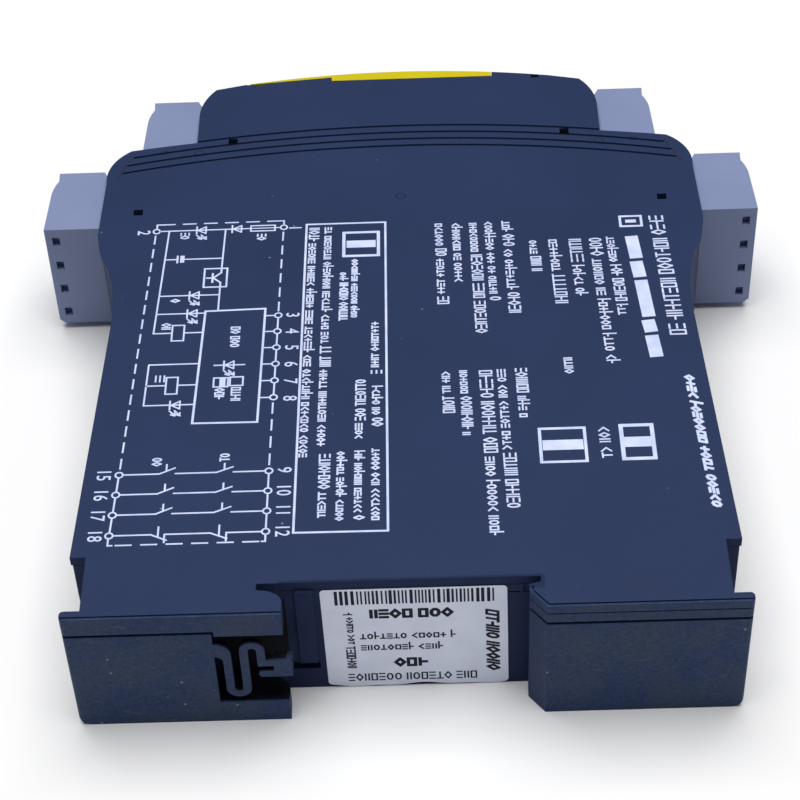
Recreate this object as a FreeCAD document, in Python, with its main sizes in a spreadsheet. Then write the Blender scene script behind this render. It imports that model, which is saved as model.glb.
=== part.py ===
import FreeCAD, Part
import math
import os

import Sketcher

# Safety relay for a 35 mm rail, 22.5 mm wide, lying on one flat side.
# X runs along the height of the mounted relay (its lower end is at -X),
# Y runs from the rail side at the back to the curved front, Z is the width.
# Outlines are drawn with Y from the back face; each body then moves back by
# half the depth, so the middle of the footprint is the origin.

V = FreeCAD.Vector
doc = FreeCAD.newDocument("SafetyRelay")
sheet = doc.addObject("Spreadsheet::Sheet", "Sizes")
rows = 0


class Size:
    """A length with the sheet formula that gives it."""

    def __init__(self, value, text):
        self.value = float(value)
        self.text = text

    @staticmethod
    def of(other):
        return other if isinstance(other, Size) else Size(other, "(%r)" % float(other))

    def __add__(self, other):
        other = Size.of(other)
        return Size(self.value + other.value, "(%s + %s)" % (self.text, other.text))

    def __sub__(self, other):
        other = Size.of(other)
        return Size(self.value - other.value, "(%s - %s)" % (self.text, other.text))

    def __mul__(self, other):
        other = Size.of(other)
        return Size(self.value * other.value, "(%s * %s)" % (self.text, other.text))

    def __truediv__(self, other):
        other = Size.of(other)
        return Size(self.value / other.value, "(%s / %s)" % (self.text, other.text))

    def __neg__(self):
        return Size(-self.value, "(0 - %s)" % self.text)

    def root(self):
        return Size(math.sqrt(self.value), "sqrt(%s)" % self.text)

    __radd__ = __add__

    def __rsub__(self, other):
        return Size.of(other) - self

    __rmul__ = __mul__


def larger(a, b):
    """The greater of two lengths."""
    a, b = Size.of(a), Size.of(b)
    return Size(max(a.value, b.value), "max(%s; %s)" % (a.text, b.text))


def smaller(a, b):
    """The lesser of two lengths."""
    a, b = Size.of(a), Size.of(b)
    return Size(min(a.value, b.value), "min(%s; %s)" % (a.text, b.text))


def size(name, value):
    """Writes one driving dimension into the sheet."""
    global rows
    rows += 1
    sheet.set("A%d" % rows, name.replace("_", " "))
    sheet.set("B%d" % rows, str(value))
    sheet.setAlias("B%d" % rows, name)
    return Size(value, "Sizes." + name)


def bind(thing, prop, length):
    if "Sizes." in length.text:
        thing.setExpression(prop, length.text)


def body(name, x=0.0, y=0.0, z=0.0, turned=False):
    """A new sub-part; turned puts it end for end about its own Y axis."""
    made = doc.addObject("PartDesign::Body", name)
    made.Label = name
    made.AllowCompound = True
    place = [Size.of(x), Size.of(y), Size.of(z)]
    spin = FreeCAD.Rotation(V(0, 1, 0), 180.0 if turned else 0.0)
    made.Placement = FreeCAD.Placement(V(*[p.value for p in place]), spin)
    for axis, length in zip("xyz", place):
        bind(made, "Placement.Base." + axis, length)
    return made


def sketch(owner, name, plane, at):
    """A sketch on one of the body's own origin planes, moved along its axis to at."""
    at = Size.of(at)
    flat = [f for f in owner.Origin.OriginFeatures if f.Role == plane + "_Plane"][0]
    made = owner.newObject("Sketcher::SketchObject", name)
    made.AttachmentSupport = [(flat, "")]
    made.MapMode = "FlatFace"
    shift = -at if plane == "XZ" else at
    made.AttachmentOffset = FreeCAD.Placement(V(0, 0, shift.value), FreeCAD.Rotation())
    bind(made, "AttachmentOffset.Base.z", shift)
    return made


def hold(made, kind, number, point, length):
    """Fixes one coordinate of a point, or a radius, to its formula."""
    if kind == "Radius":
        spot = made.addConstraint(Sketcher.Constraint("Radius", number, length.value))
    else:
        rule = Sketcher.Constraint(kind, -1, 1, number, point, length.value)
        spot = made.addConstraint(rule)
    bind(made, "Constraints[%d]" % spot, length)


def draw(made, path):
    """One closed outline. A corner is (a, b); (a, b, radius, turn) is reached by an
    arc that turns left (1) or right (-1), and a radius of None makes a half circle."""
    count = len(path)
    spots = [(Size.of(p[0]), Size.of(p[1])) for p in path]
    first = made.GeometryCount
    ends = []
    for i in range(count):
        (ax, ay), (bx, by) = spots[i], spots[(i + 1) % count]
        bend = path[(i + 1) % count][2:]
        p, q = V(ax.value, ay.value, 0), V(bx.value, by.value, 0)
        if not bend:
            made.addGeometry(Part.LineSegment(p, q), False)
            ends.append((1, 2))
            continue
        radius, turn = bend
        span = q.sub(p)
        reach = span.Length / 2 if radius is None else Size.of(radius).value
        side = V(-span.y, span.x, 0).normalize()
        rise = math.sqrt(max(reach ** 2 - span.Length ** 2 / 4, 0.0))
        mid = p.add(q).multiply(0.5).add(side.multiply(turn * rise))
        a, b = (p, q) if turn > 0 else (q, p)
        start = math.atan2(a.y - mid.y, a.x - mid.x)
        stop = math.atan2(b.y - mid.y, b.x - mid.x)
        ring = Part.Circle(mid, V(0, 0, 1), reach)
        made.addGeometry(Part.ArcOfCircle(ring, start, stop), False)
        ends.append((1, 2) if turn > 0 else (2, 1))
    for i in range(count):
        nxt = (i + 1) % count
        joint = (first + i, ends[i][1], first + nxt, ends[nxt][0])
        made.addConstraint(Sketcher.Constraint("Coincident", *joint))
    for i in range(count):
        hold(made, "DistanceX", first + i, ends[i][0], spots[i][0])
        hold(made, "DistanceY", first + i, ends[i][0], spots[i][1])
        bend = path[(i + 1) % count][2:]
        if bend and bend[0] is not None:
            hold(made, "Radius", first + i, 0, Size.of(bend[0]))
        elif bend:
            (ax, ay), (bx, by) = spots[i], spots[(i + 1) % count]
            if abs(ax.value - bx.value) > abs(ay.value - by.value):
                hold(made, "DistanceY", first + i, 3, ay)
            else:
                hold(made, "DistanceX", first + i, 3, ax)


def disc(made, x, y, radius):
    x, y, radius = Size.of(x), Size.of(y), Size.of(radius)
    ring = Part.Circle(V(x.value, y.value, 0), V(0, 0, 1), radius.value)
    number = made.addGeometry(ring, False)
    hold(made, "DistanceX", number, 3, x)
    hold(made, "DistanceY", number, 3, y)
    hold(made, "Radius", number, 0, radius)


def rect(a0, b0, a1, b1):
    return [(a0, b0), (a1, b0), (a1, b1), (a0, b1)]


def fill(made, outlines):
    for line in outlines:
        if isinstance(line, tuple):
            disc(made, *line)
        else:
            draw(made, line)


def settle(*things):
    for thing in things:
        doc.recompute([thing])


def add(owner, name, plane, at, outlines, length):
    """Adds material from the plane at `at` towards the plus side of its axis."""
    length = Size.of(length)
    drawn = sketch(owner, name + "Sketch", plane, at)
    fill(drawn, outlines)
    made = owner.newObject("PartDesign::Pad", name)
    made.Profile = drawn
    made.Length = length.value
    made.Reversed = plane == "XZ"
    bind(made, "Length", length)
    settle(drawn, made)
    return made


def cut(owner, name, plane, at, outlines, length):
    """Removes material from the plane at `at` towards the plus side of its axis."""
    length = Size.of(length)
    before = owner.Tip.Shape.Volume
    drawn = sketch(owner, name + "Sketch", plane, at)
    fill(drawn, outlines)
    made = owner.newObject("PartDesign::Pocket", name)
    made.Profile = drawn
    made.Length = length.value
    made.Reversed = plane != "XZ"
    bind(made, "Length", length)
    settle(drawn, made)
    if made.Shape.Volume > before - 0.001:
        raise RuntimeError(owner.Label + ": " + name + " cuts nothing")
    return made


def spin(owner, name, path):
    """A turned form about the body's own Y axis."""
    drawn = sketch(owner, name + "Sketch", "XY", 0.0)
    draw(drawn, path)
    made = owner.newObject("PartDesign::Revolution", name)
    made.Profile = drawn
    made.ReferenceAxis = (drawn, ["V_Axis"])
    made.Angle = 360.0
    settle(drawn, made)
    return made


def edges(owner, test):
    """Names of the straight edges whose two ends both pass the test."""
    found = []
    for i, edge in enumerate(owner.Tip.Shape.Edges):
        tips = [v.Point for v in edge.Vertexes]
        if len(tips) == 2 and all(test(p) for p in tips):
            found.append("Edge%d" % (i + 1))
    return found


def soften(owner, name, names, radius):
    before = owner.Tip
    made = owner.newObject("PartDesign::Fillet", name)
    made.Base = (before, names)
    made.Radius = radius.value
    bind(made, "Radius", radius)
    settle(made)


# Driving dimensions, in millimetres.
case_thick = size("case_thick", 22.5)
case_depth = size("case_depth", 119.8)
skin = size("skin", 1.5)
seam = size("seam", 0.1)
lip = size("lip", 0.25)
foot_half = size("foot_half", 46.2)
heel_deep = size("heel_deep", 1.6)
heel_round = size("heel_round", 0.6)
corner_round = size("corner_round", 1.8)
neck_half = size("neck_half", 43.5)
neck_end = size("neck_end", 11.1)
body_half = size("body_half", 45.7)
waist_half = size("waist_half", 43.9)
bulge_half = size("bulge_half", 47.7)
tier_half = size("tier_half", 33.2)
tier_deep = size("tier_deep", 18.0)
crown_half = size("crown_half", 30.7)
crown_drop = size("crown_drop", 3.6)
arch_radius = size("arch_radius", 140.0)
rib_radius = size("rib_radius", 206.8)
rib_step = size("rib_step", 1.77)
rib_wide = size("rib_wide", 0.5)
rib_sunk = size("rib_sunk", 0.35)

groove_deep = size("groove_deep", 5.5)
groove_left = size("groove_left", 16.6)
groove_right = size("groove_right", 16.5)
foot_slant = size("foot_slant", 2.2)
foot_slant_deep = size("foot_slant_deep", 2.8)
under_left = size("under_left", 20.1)
under_right = size("under_right", 18.1)
band_thick = size("band_thick", 1.7)
band_gap = size("band_gap", 0.5)
keeper_deep = size("keeper_deep", 2.4)
hook_thick = size("hook_thick", 4.2)
window_left = size("window_left", 26.2)

poles = 4
pitch = size("pitch", 5.0)
plug_deep = size("plug_deep", 14.3)
plug_long = size("plug_long", 10.5)
plug_step = size("plug_step", 1.3)
plug_end = size("plug_end", 56.8)
nose_long = size("nose_long", 8.4)
nose_wall = size("nose_wall", 1.4)
head_long = size("head_long", 12.0)
head_sunk = size("head_sunk", 0.25)
plug_front = size("plug_front", 5.4)
plug_shift = size("plug_shift", 14.4)
plug_climb = size("plug_climb", 18.3)
fit_gap = size("fit_gap", 0.1)
loose = size("loose", 0.2)

screw_head = size("screw_head", 3.8)
screw_shank = size("screw_shank", 2.46)
head_high = size("head_high", 1.9)
bar_deep = size("bar_deep", 6.3)
bar_thick = size("bar_thick", 0.7)
cage_wall = size("cage_wall", 0.7)
cage_apart = size("cage_apart", 1.1)
cage_long = size("cage_long", 4.2)
cage_open = size("cage_open", 2.6)
cage_rise = size("cage_rise", 1.2)
pin_wide = size("pin_wide", 0.8)
row_step = size("row_step", 2.4)
board_thick = size("board_thick", 1.2)
pin_over = size("pin_over", 0.1)

cover_half = size("cover_half", 25.6)
cover_lug_left = size("cover_lug_left", 11.2)
cover_lug_right = size("cover_lug_right", 15.9)
bezel_thick = size("bezel_thick", 1.6)

doc.recompute()

# Places that follow from them.
back = -(case_depth / 2)
mid = case_thick / 2
front = case_depth - tier_deep
top = case_thick - skin
wall_top = top - seam
plug_wide = pitch * poles
low = mid - plug_wide / 2
header_low = skin - head_sunk
header_high = top + head_sunk
cage_wide = pitch - cage_apart
strip_half = (cage_wide - cage_wall * 2 - loose) / 2
pin_half = pin_wide / 2
board_top = low + pitch / 2 - pin_half - pin_over
board_low = board_top - board_thick
peg_spots = ((-37.0, 14.0), (31.0, 76.0))
block_spots = ((37.0, 14.0), (-31.0, 76.0))
shoulder = plug_end - plug_long
lower_y = front - plug_front - plug_deep
upper_y = lower_y + plug_climb
crown = case_depth - crown_drop


def arch(x, drop=0.0):
    """Depth of the curved front at x."""
    x = Size.of(x)
    rise = (arch_radius * arch_radius - x * x).root()
    return case_depth - arch_radius + rise - drop


def mirror(path):
    """The same line on the other side of the middle, walked the other way."""
    made = []
    bend = ()
    for corner in reversed(path):
        made.append((-Size.of(corner[0]), corner[1]) + bend)
        bend = corner[2:]
    return made


def case_side(inset):
    """The +X end of the case, from its foot up to the arched front."""
    return [
        (foot_half - heel_round, 0.0),
        (foot_half, heel_round, heel_round, 1),
        (foot_half, heel_deep - heel_round),
        (foot_half - heel_round, heel_deep, heel_round, 1),
        (neck_half, heel_deep),
        (neck_half, neck_end),
        (body_half - inset, neck_end),
        (waist_half - inset, front - 43.8),
        (waist_half + 1.4 - inset, front - 31.4, 42.0, -1),
        (bulge_half - inset, front - 22.6, 24.0, 1),
        (bulge_half - 0.3 - inset, front - 9.8),
        (waist_half - inset, front - 1.65 - inset, 8.4, 1),
        (tier_half - inset, front - inset, rib_radius, 1),
        (tier_half - inset, front + 7.6),
        (crown_half - inset, crown - inset, 11.0, 1),
        (cover_half, arch(cover_half) - inset),
    ]


def case_outline(inset):
    """The whole side of the case, with the rail groove and its two undercuts."""
    inset = Size.of(inset)
    right = case_side(inset)
    left = mirror(right)
    left[0] = left[0][:2] + (arch_radius, 1)
    groove = [
        (-groove_left, 0.0),
        (-groove_left, 2.6),
        (-under_left + 1.3, groove_deep - 1.3, 3.2, 1),
        (-under_left, groove_deep - 1.1),
        (-under_left, groove_deep),
        (under_right, groove_deep),
        (under_right, groove_deep - 1.0),
        (groove_right, groove_deep - 1.4),
        (groove_right, foot_slant_deep),
        (groove_right + foot_slant, 0.0),
    ]
    return groove + right + left


def side_notches(owner, name, at, thick):
    """Openings through a flat side: the front cover's seat and the snap windows."""
    seat = [
        (-cover_half - 0.01, arch(cover_half) - 0.15),
        (-cover_lug_left - fit_gap, arch(cover_lug_left) - 0.7),
        (-cover_lug_left - fit_gap, case_depth - 2.1),
        (cover_lug_right + fit_gap, case_depth - 2.1),
        (cover_lug_right + fit_gap, case_depth + 1.0),
        (-cover_half - 0.01, case_depth + 1.0),
    ]
    cut(owner, name + "Seat", "XY", at, [seat], thick)
    holes = []
    header_snap = shoulder - 4.6
    spots = [
        (header_snap, lower_y + 2.2, 0.7),
        (header_snap - plug_shift, upper_y + 1.8, 0.9),
        (cover_half - 2.2, arch(cover_half - 2.2) - 0.75, 0.65),
    ]
    for x, y, half in spots:
        holes.append(rect(x - 0.75, y - half, x + 0.75, y + half))
        holes.append(rect(-x - 0.75, y - half, -x + 0.75, y + half))
    cut(owner, name + "Snaps", "XY", at, holes, thick)


def header_rooms():
    """The four places the plug headers take, open to the ends of the case."""
    inner = shoulder - loose - head_long - fit_gap
    outer = bulge_half + 2.0
    near, far = lower_y - fit_gap, lower_y + plug_deep + fit_gap
    rooms = []
    right = rect(inner, near, outer, far)
    above = rect(
        inner - plug_shift, near + plug_climb - 0.1, outer - 5.0, far + plug_climb
    )
    for room in (right, above):
        rooms.append(room)
        rooms.append(mirror(room))
    return rooms


# Base: a deep tray with its floor down, both feet and the hooks for the rail.
base = body("base_housing", y=back)
add(base, "Tray", "XY", 0.0, [case_outline(lip)], wall_top)
hollow_x = neck_half - skin
room = [
    (-hollow_x, groove_deep + skin),
    (hollow_x, groove_deep + skin),
    (hollow_x, neck_end + skin),
    (waist_half - skin - lip, front - 43.8),
    (waist_half - skin - lip, front - 33.0),
    (bulge_half - skin - lip, front - 21.0),
    (bulge_half - skin - 0.3 - lip, front - 9.8),
    (waist_half - skin - lip, front - 3.4),
    (tier_half - skin - lip, front - 2.0),
    (tier_half - skin - lip, crown - skin),
    (cover_half, crown - skin),
    (cover_half, case_depth + 1.0),
    (-cover_half, case_depth + 1.0),
    (-cover_half, crown - skin),
    (-tier_half + skin + lip, crown - skin),
    (-tier_half + skin + lip, front - 2.0),
    (-waist_half + skin + lip, front - 3.4),
    (-bulge_half + skin + 0.3 + lip, front - 9.8),
    (-bulge_half + skin + lip, front - 21.0),
    (-waist_half + skin + lip, front - 33.0),
    (-waist_half + skin + lip, front - 43.8),
    (-hollow_x, neck_end + skin),
]
cut(base, "Room", "XY", skin, [room], case_thick)
room_low = smaller(header_low, low) - fit_gap
cut(base, "HeaderRooms", "XY", room_low, header_rooms(), case_thick)
foot_top = top - band_thick - band_gap
ankle_left = rect(-neck_half + skin, heel_deep, -window_left, groove_deep)
ankle_right = rect(groove_right + 3.0, heel_deep, neck_half - skin, groove_deep)
cut(base, "Ankles", "XY", skin, [ankle_left, ankle_right], case_thick)
window = rect(-window_left, -1.0, -groove_left + 1.0, groove_deep)
cut(base, "SpringWindow", "XY", hook_thick, [window], case_thick)
feet_above = [
    rect(-foot_half - 1.0, -1.0, -groove_left + 1.0, groove_deep),
    rect(groove_right - 1.0, -1.0, foot_half + 1.0, groove_deep - 1.2),
]
cut(base, "FootTops", "XY", foot_top, feet_above, case_thick)
side_notches(base, "Floor", -1.0, skin + 1.0)
rib_low = hook_thick + 1.8
rear_rib = rect(-15.1, groove_deep - 0.5, -12.6, groove_deep + 0.2)
add(base, "RearRib", "XY", rib_low, [rear_rib], wall_top - rib_low)
slot = rect(-16.8, groove_deep - 0.5, -12.4, groove_deep + 0.9)
cut(base, "RearSlot", "XY", hook_thick, [slot], 1.8)
end_rib = rect(15.4, groove_deep - 0.3, 15.8, groove_deep + 0.2)
add(base, "EndRib", "XY", wall_top - 1.4, [end_rib], 1.4)
wall_seam = rect(13.8, groove_deep - 0.5, under_right, groove_deep + 0.3)
cut(base, "WallSeam", "XY", wall_top - 1.65, [wall_seam], 0.25)
blocks = [rect(x - 2.0, y - 2.0, x + 2.0, y + 2.0) for x, y in block_spots]
add(base, "Posts", "XY", skin, [spot + (2.4,) for spot in peg_spots] + blocks,
    board_low - skin)
add(base, "Pegs", "XY", skin, [spot + (1.3,) for spot in peg_spots],
    board_top + 1.6 - skin)
wall_y = groove_deep + skin
ribs = [rect(x, wall_y - 0.1, x + 1.2, wall_y + 1.2) for x in (-20.0, 6.0, 18.8)]
rib_foot = board_top + 0.4
add(base, "WallRibs", "XY", rib_foot, ribs, top - keeper_deep - 0.95 - rib_foot)
corner = [
    (foot_half - corner_round, -1.0),
    (foot_half + 1.0, -1.0),
    (foot_half + 1.0, corner_round),
    (foot_half, corner_round),
    (foot_half - corner_round, 0.0, corner_round, -1),
]
cut(base, "FootCorners", "XZ", -0.5, [corner, mirror(corner)], heel_deep + 1.0)

# Side cover: the flat lid over the tray, with the ribbed band near the front.
lid = body("side_cover", y=back)
add(lid, "Plate", "XY", top, [case_outline(0.0)], skin)
left_foot = [
    (-foot_half + heel_round, 0.0, heel_round, 1),
    (-groove_left, 0.0),
    (-groove_left, 2.6),
    (-under_left + 1.3, groove_deep - 1.3, 3.2, 1),
    (-under_left, groove_deep - 1.1),
    (-under_left, groove_deep - 0.05),
    (-neck_half, groove_deep - 0.05),
    (-neck_half, heel_deep),
    (-foot_half + heel_round, heel_deep),
    (-foot_half, heel_deep - heel_round, heel_round, 1),
    (-foot_half, heel_round),
]
right_foot = [
    (groove_right + foot_slant, 0.0),
    (foot_half - heel_round, 0.0),
    (foot_half, heel_round, heel_round, 1),
    (foot_half, heel_deep - heel_round),
    (foot_half - heel_round, heel_deep, heel_round, 1),
    (neck_half, heel_deep),
    (neck_half, groove_deep - 1.25),
    (groove_right + 0.3, groove_deep - 1.25),
    (groove_right, groove_deep - 1.4),
    (groove_right, foot_slant_deep),
]
add(lid, "Bands", "XY", top - band_thick, [left_foot, right_foot], band_thick + 0.1)
hook_low = case_thick - hook_thick
hook = [
    (-window_left + 0.3, 0.0),
    (-groove_left, 0.0),
    (-groove_left, 2.6),
    (-under_left + 1.3, groove_deep - 1.3, 3.2, 1),
    (-under_left, groove_deep - 1.1),
    (-under_left, groove_deep - 0.05),
    (-window_left + 0.3, groove_deep - 0.05),
]
add(lid, "Hook", "XY", hook_low, [hook], top - hook_low)
ankle_left = rect(-neck_half + skin, heel_deep, -window_left - skin, groove_deep - skin)
ankle_right = rect(
    groove_right + 3.0, heel_deep, neck_half - skin, groove_deep - 1.25 - skin
)
cut(lid, "BandRooms", "XY", top - band_thick - 0.1, [ankle_left, ankle_right],
    band_thick + 0.1)
room_high = larger(header_high, low + plug_wide) + fit_gap
cut(lid, "HeaderRooms", "XY", top - 0.2, header_rooms(), room_high - top + 0.2)
side_notches(lid, "Lid", top - 0.1, skin + 1.0)
keepers = []
for x0, y0, x1, y1 in ((39.8, 16.0, 41.2, 30.0), (39.8, 36.0, 41.2, 50.0)):
    keepers.append(rect(x0, y0, x1, y1))
    keepers.append(rect(-x1, y0, -x0, y1))
keepers.append(rect(-14.0, groove_deep + skin + fit_gap, 12.0, groove_deep + skin + 1.2))
add(lid, "Keepers", "XY", top - keeper_deep, keepers, keeper_deep + 0.1)
ends = (33.1, 43.5, 44.5, 45.1)
for i, end in enumerate(ends):
    outer = rib_radius - rib_step * i
    inner = outer - rib_wide
    drop = rib_radius - front - 3.2
    reach = Size.of(end)
    high = (outer * outer - reach * reach).root() - drop
    deep = (inner * inner - reach * reach).root() - drop
    line = [
        (-reach, deep),
        (reach, deep, inner, -1),
        (reach, high),
        (-reach, high, outer, 1),
    ]
    cut(lid, "Rib%d" % i, "XY", case_thick - rib_sunk, [line], 1.0)
left_line = rect(-foot_half - 1.0, 0.35, -groove_left + 1.0, 0.6)
right_line = [
    (groove_right + foot_slant + 0.15, 0.35),
    (foot_half + 1.0, 0.35),
    (foot_half + 1.0, 0.6),
    (groove_right + foot_slant + 0.3, 0.6),
    (groove_right + 0.6, foot_slant_deep + 0.2),
    (groove_right + 0.6, groove_deep - 1.7),
    (groove_right + 0.35, groove_deep - 1.7),
    (groove_right + 0.35, foot_slant_deep + 0.1),
]
cut(lid, "EdgeLines", "XY", case_thick - 0.3, [left_line, right_line], 1.0)
band_step = [
    (groove_right - 1.0, -1.0),
    (foot_half + 1.0, -1.0),
    (foot_half + 1.0, 0.12),
    (groove_right + foot_slant + 0.08, 0.12),
    (groove_right + 0.12, foot_slant_deep + 0.04),
    (groove_right + 0.12, foot_slant_deep + 0.8),
    (groove_right - 1.0, foot_slant_deep + 0.8),
]
cut(lid, "BandStep", "XY", top - 0.05, [band_step], 0.2)


# Terminal plugs, drawn at the outer +X end: X from the shoulder outwards,
# Y from the rear face, Z from the middle of the four poles.
half_wide = plug_wide / 2
centres = [pitch * (i - (poles - 1) / 2) for i in range(poles)]
screw_x = plug_long - 4.4
test_x = plug_long - 1.7
bar_top = bar_deep + bar_thick
cage_low = bar_deep - cage_open - cage_wall
cage_high = bar_top + fit_gap + cage_wall
seat_low = cage_high + cage_rise + fit_gap
seat_high = seat_low + 0.8
nose_from, nose_to = nose_wall + loose, plug_deep - nose_wall - loose
plug_ends = (
    ("outer_right", shoulder, lower_y, False),
    ("outer_left", -shoulder, lower_y, True),
    ("inner_right", shoulder - plug_shift, upper_y, False),
    ("inner_left", -(shoulder - plug_shift), upper_y, True),
)
for label, x, y, turned in plug_ends:
    plug = body("plug_" + label, x, back + y, mid, turned)
    side = [
        (0.0, 0.0),
        (plug_long, 0.0),
        (plug_long - 0.35, plug_deep - 5.9),
        (plug_long - 1.3, plug_deep - 2.0, 9.0, 1),
        (plug_long - 1.2, plug_deep),
        (plug_step + 0.6, plug_deep),
        (plug_step, plug_deep - 1.3),
        (0.0, plug_deep - 1.3),
    ]
    add(plug, "Block", "XY", -half_wide, [side], plug_wide)
    nose = rect(-nose_long, nose_from, 0.1, nose_to)
    add(plug, "Nose", "XY", -half_wide + 1.2, [nose], plug_wide - 2.4)
    entries, chambers, sockets = [], [], []
    heads, shanks, tests = [], [], []
    for z in centres:
        entries.append(rect(cage_low + cage_wall, z - strip_half - 0.45,
                            bar_deep, z + strip_half + 0.45))
        chambers.append(
            rect(screw_x - cage_long / 2 - fit_gap, z - cage_wide / 2 - fit_gap,
                 screw_x + cage_long / 2 + fit_gap, z + cage_wide / 2 + fit_gap)
        )
        sockets.append(rect(bar_deep - 1.9, z - strip_half - 0.25,
                            bar_top + 0.5, z + strip_half + 0.25))
        heads.append((screw_x, z, screw_head / 2 + 0.15))
        hole = screw_shank / 2 + 0.1
        shanks.append(rect(screw_x - hole, z - hole, screw_x + hole, z + hole))
        tests.append(rect(test_x - 0.6, z - pitch * 0.17, test_x + 0.6, z + pitch * 0.17))
    cut(plug, "Entries", "YZ", screw_x, entries, plug_long)
    cut(plug, "Chambers", "XZ", cage_low - fit_gap, chambers,
        seat_low - cage_low + fit_gap)
    cut(plug, "Sockets", "YZ", -nose_long - 1.0, sockets, nose_long + 1.0 + screw_x)
    cut(plug, "Shanks", "XZ", seat_low - 0.5, shanks, plug_deep)
    cut(plug, "Heads", "XZ", seat_high, heads, plug_deep)
    cut(plug, "Tests", "XZ", -1.0, tests, 2.2)
    under = half_wide if turned else -half_wide
    slope = [
        (plug_long - 0.9, under),
        (plug_long + 0.2, under),
        (plug_long + 0.2, under + (-1.0 if turned else 1.0)),
    ]
    cut(plug, "LowEdge", "XZ", -1.0, [slope], plug_deep + 2.0)

    strips = body("contacts_" + label, x, back + y, mid, turned)
    for i, z in enumerate(centres):
        strip = [
            (-nose_long + 0.6, bar_deep - 0.75),
            (-nose_long + 3.4, bar_deep - 0.3),
            (-nose_long + 5.0, bar_deep),
            (screw_x + 1.6, bar_deep),
            (screw_x + 1.6, bar_top),
            (-nose_long + 5.0, bar_top),
            (-nose_long + 3.4, bar_deep + 0.15),
            (-nose_long + 0.6, bar_deep - 0.3),
        ]
        add(strips, "Strip%d" % i, "XY", z - strip_half, [strip], strip_half * 2)

    for i, z in enumerate(centres):
        high = -z if turned else z
        screw = body("screw_%s_%d" % (label, i + 1), x + (-screw_x if turned else screw_x),
                     back + y, mid + high)
        tip = bar_top + 0.05
        turned_side = [
            (0.0, tip),
            (screw_shank / 2, tip),
            (screw_shank / 2, seat_high),
            (screw_head / 2, seat_high),
            (screw_head / 2, seat_high + head_high),
            (0.0, seat_high + head_high),
        ]
        spin(screw, "Turned", turned_side)
        drive = rect(-3.0, -0.35, 3.0, 0.35)
        cut(screw, "Slot", "XZ", seat_high + head_high - 0.9, [drive], 2.0)

        cage = body("cage_%s_%d" % (label, i + 1), x + (-screw_x if turned else screw_x),
                    back + y, mid + high)
        half_x, half_z = cage_long / 2, cage_wide / 2
        add(cage, "Frame", "XZ", cage_low, [rect(-half_x, -half_z, half_x, half_z)],
            cage_high - cage_low)
        mouth = rect(cage_low + cage_wall, -half_z + cage_wall,
                     cage_high - cage_wall, half_z - cage_wall)
        cut(cage, "Mouth", "YZ", -cage_long, [mouth], cage_long * 2)
        cut(cage, "Thread", "XZ", cage_high - cage_wall - 0.5,
            [(0.0, 0.0, screw_shank / 2 + 0.04)], cage_wall + 1.0)

# Headers: four grey sockets that the plugs push into, soldered by bent pins.
headers = body("terminal_headers", y=back)
pins = body("header_pins", y=back)
head_out = shoulder - loose
head_in = head_out - head_long
places = ((0.0, lower_y, 1), (0.0, lower_y, -1),
          (plug_shift, upper_y, 1), (plug_shift, upper_y, -1))
blocks, wells = [], []
for shift, y, side in places:
    block = rect(head_in - shift, y, head_out - shift, y + plug_deep)
    well = rect(head_in - shift + 3.0, y + nose_wall,
                head_out - shift + 1.0, y + plug_deep - nose_wall)
    blocks.append(block if side > 0 else mirror(block))
    wells.append(well if side > 0 else mirror(well))
add(headers, "Blocks", "XY", header_low, blocks, header_high - header_low)
cut(headers, "Wells", "XY", low + 1.0, wells, plug_wide - 2.0)
pin_spots = []
for number, (shift, y, side) in enumerate(places):
    pin_y = y + bar_deep - 1.2
    bores = []
    legs = []
    for i, z in enumerate(centres):
        height = mid + z
        tip_x = shoulder - shift - 4.0
        leg_x = head_in - shift - 1.6 - row_step * i
        pin_spots.append((leg_x * side, pin_y))
        leg = [
            (tip_x, height - pin_half),
            (tip_x, height + pin_half),
            (leg_x - pin_half, height + pin_half),
            (leg_x - pin_half, skin + 0.1),
            (leg_x + pin_half, skin + 0.1),
            (leg_x + pin_half, height - pin_half),
        ]
        legs.append(leg if side > 0 else mirror(leg))
        bores.append(rect(pin_y - pin_half - 0.03, height - pin_half - 0.03,
                          pin_y + pin_half + 0.03, height + pin_half + 0.03))
    add(pins, "Legs%d" % number, "XZ", pin_y - pin_half, legs, pin_wide)
    start = head_in - shift - 1.0 if side > 0 else -(head_in - shift) - 5.0
    cut(headers, "Bores%d" % number, "YZ", start, bores, 6.0)

# Main board, flat beside the base, with what stands on it.
board = body("main_board", y=back)
board_half = size("board_half", 41.0)
plate = [
    (-board_half, wall_y + 1.6),
    (board_half, wall_y + 1.6),
    (board_half, lower_y - 1.5),
    (head_in - 0.8, lower_y - 1.5),
    (head_in - 0.8, front - 3.9),
    (head_in - plug_shift - 0.6, front - 3.9),
    (head_in - plug_shift - 0.6, case_depth - 6.4),
    (-(head_in - plug_shift - 0.6), case_depth - 6.4),
    (-(head_in - plug_shift - 0.6), front - 3.9),
    (-(head_in - 0.8), front - 3.9),
    (-(head_in - 0.8), lower_y - 1.5),
    (-board_half, lower_y - 1.5),
]
add(board, "Sheet", "XY", board_low, [plate], board_thick)
drills = [spot + (1.5,) for spot in peg_spots]
pads = [rect(x - pin_half - 0.05, y - pin_half - 0.05,
             x + pin_half + 0.05, y + pin_half + 0.05) for x, y in pin_spots]
cut(board, "Drills", "XY", board_low - 0.5, drills + pads, board_thick + 1.0)

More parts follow.
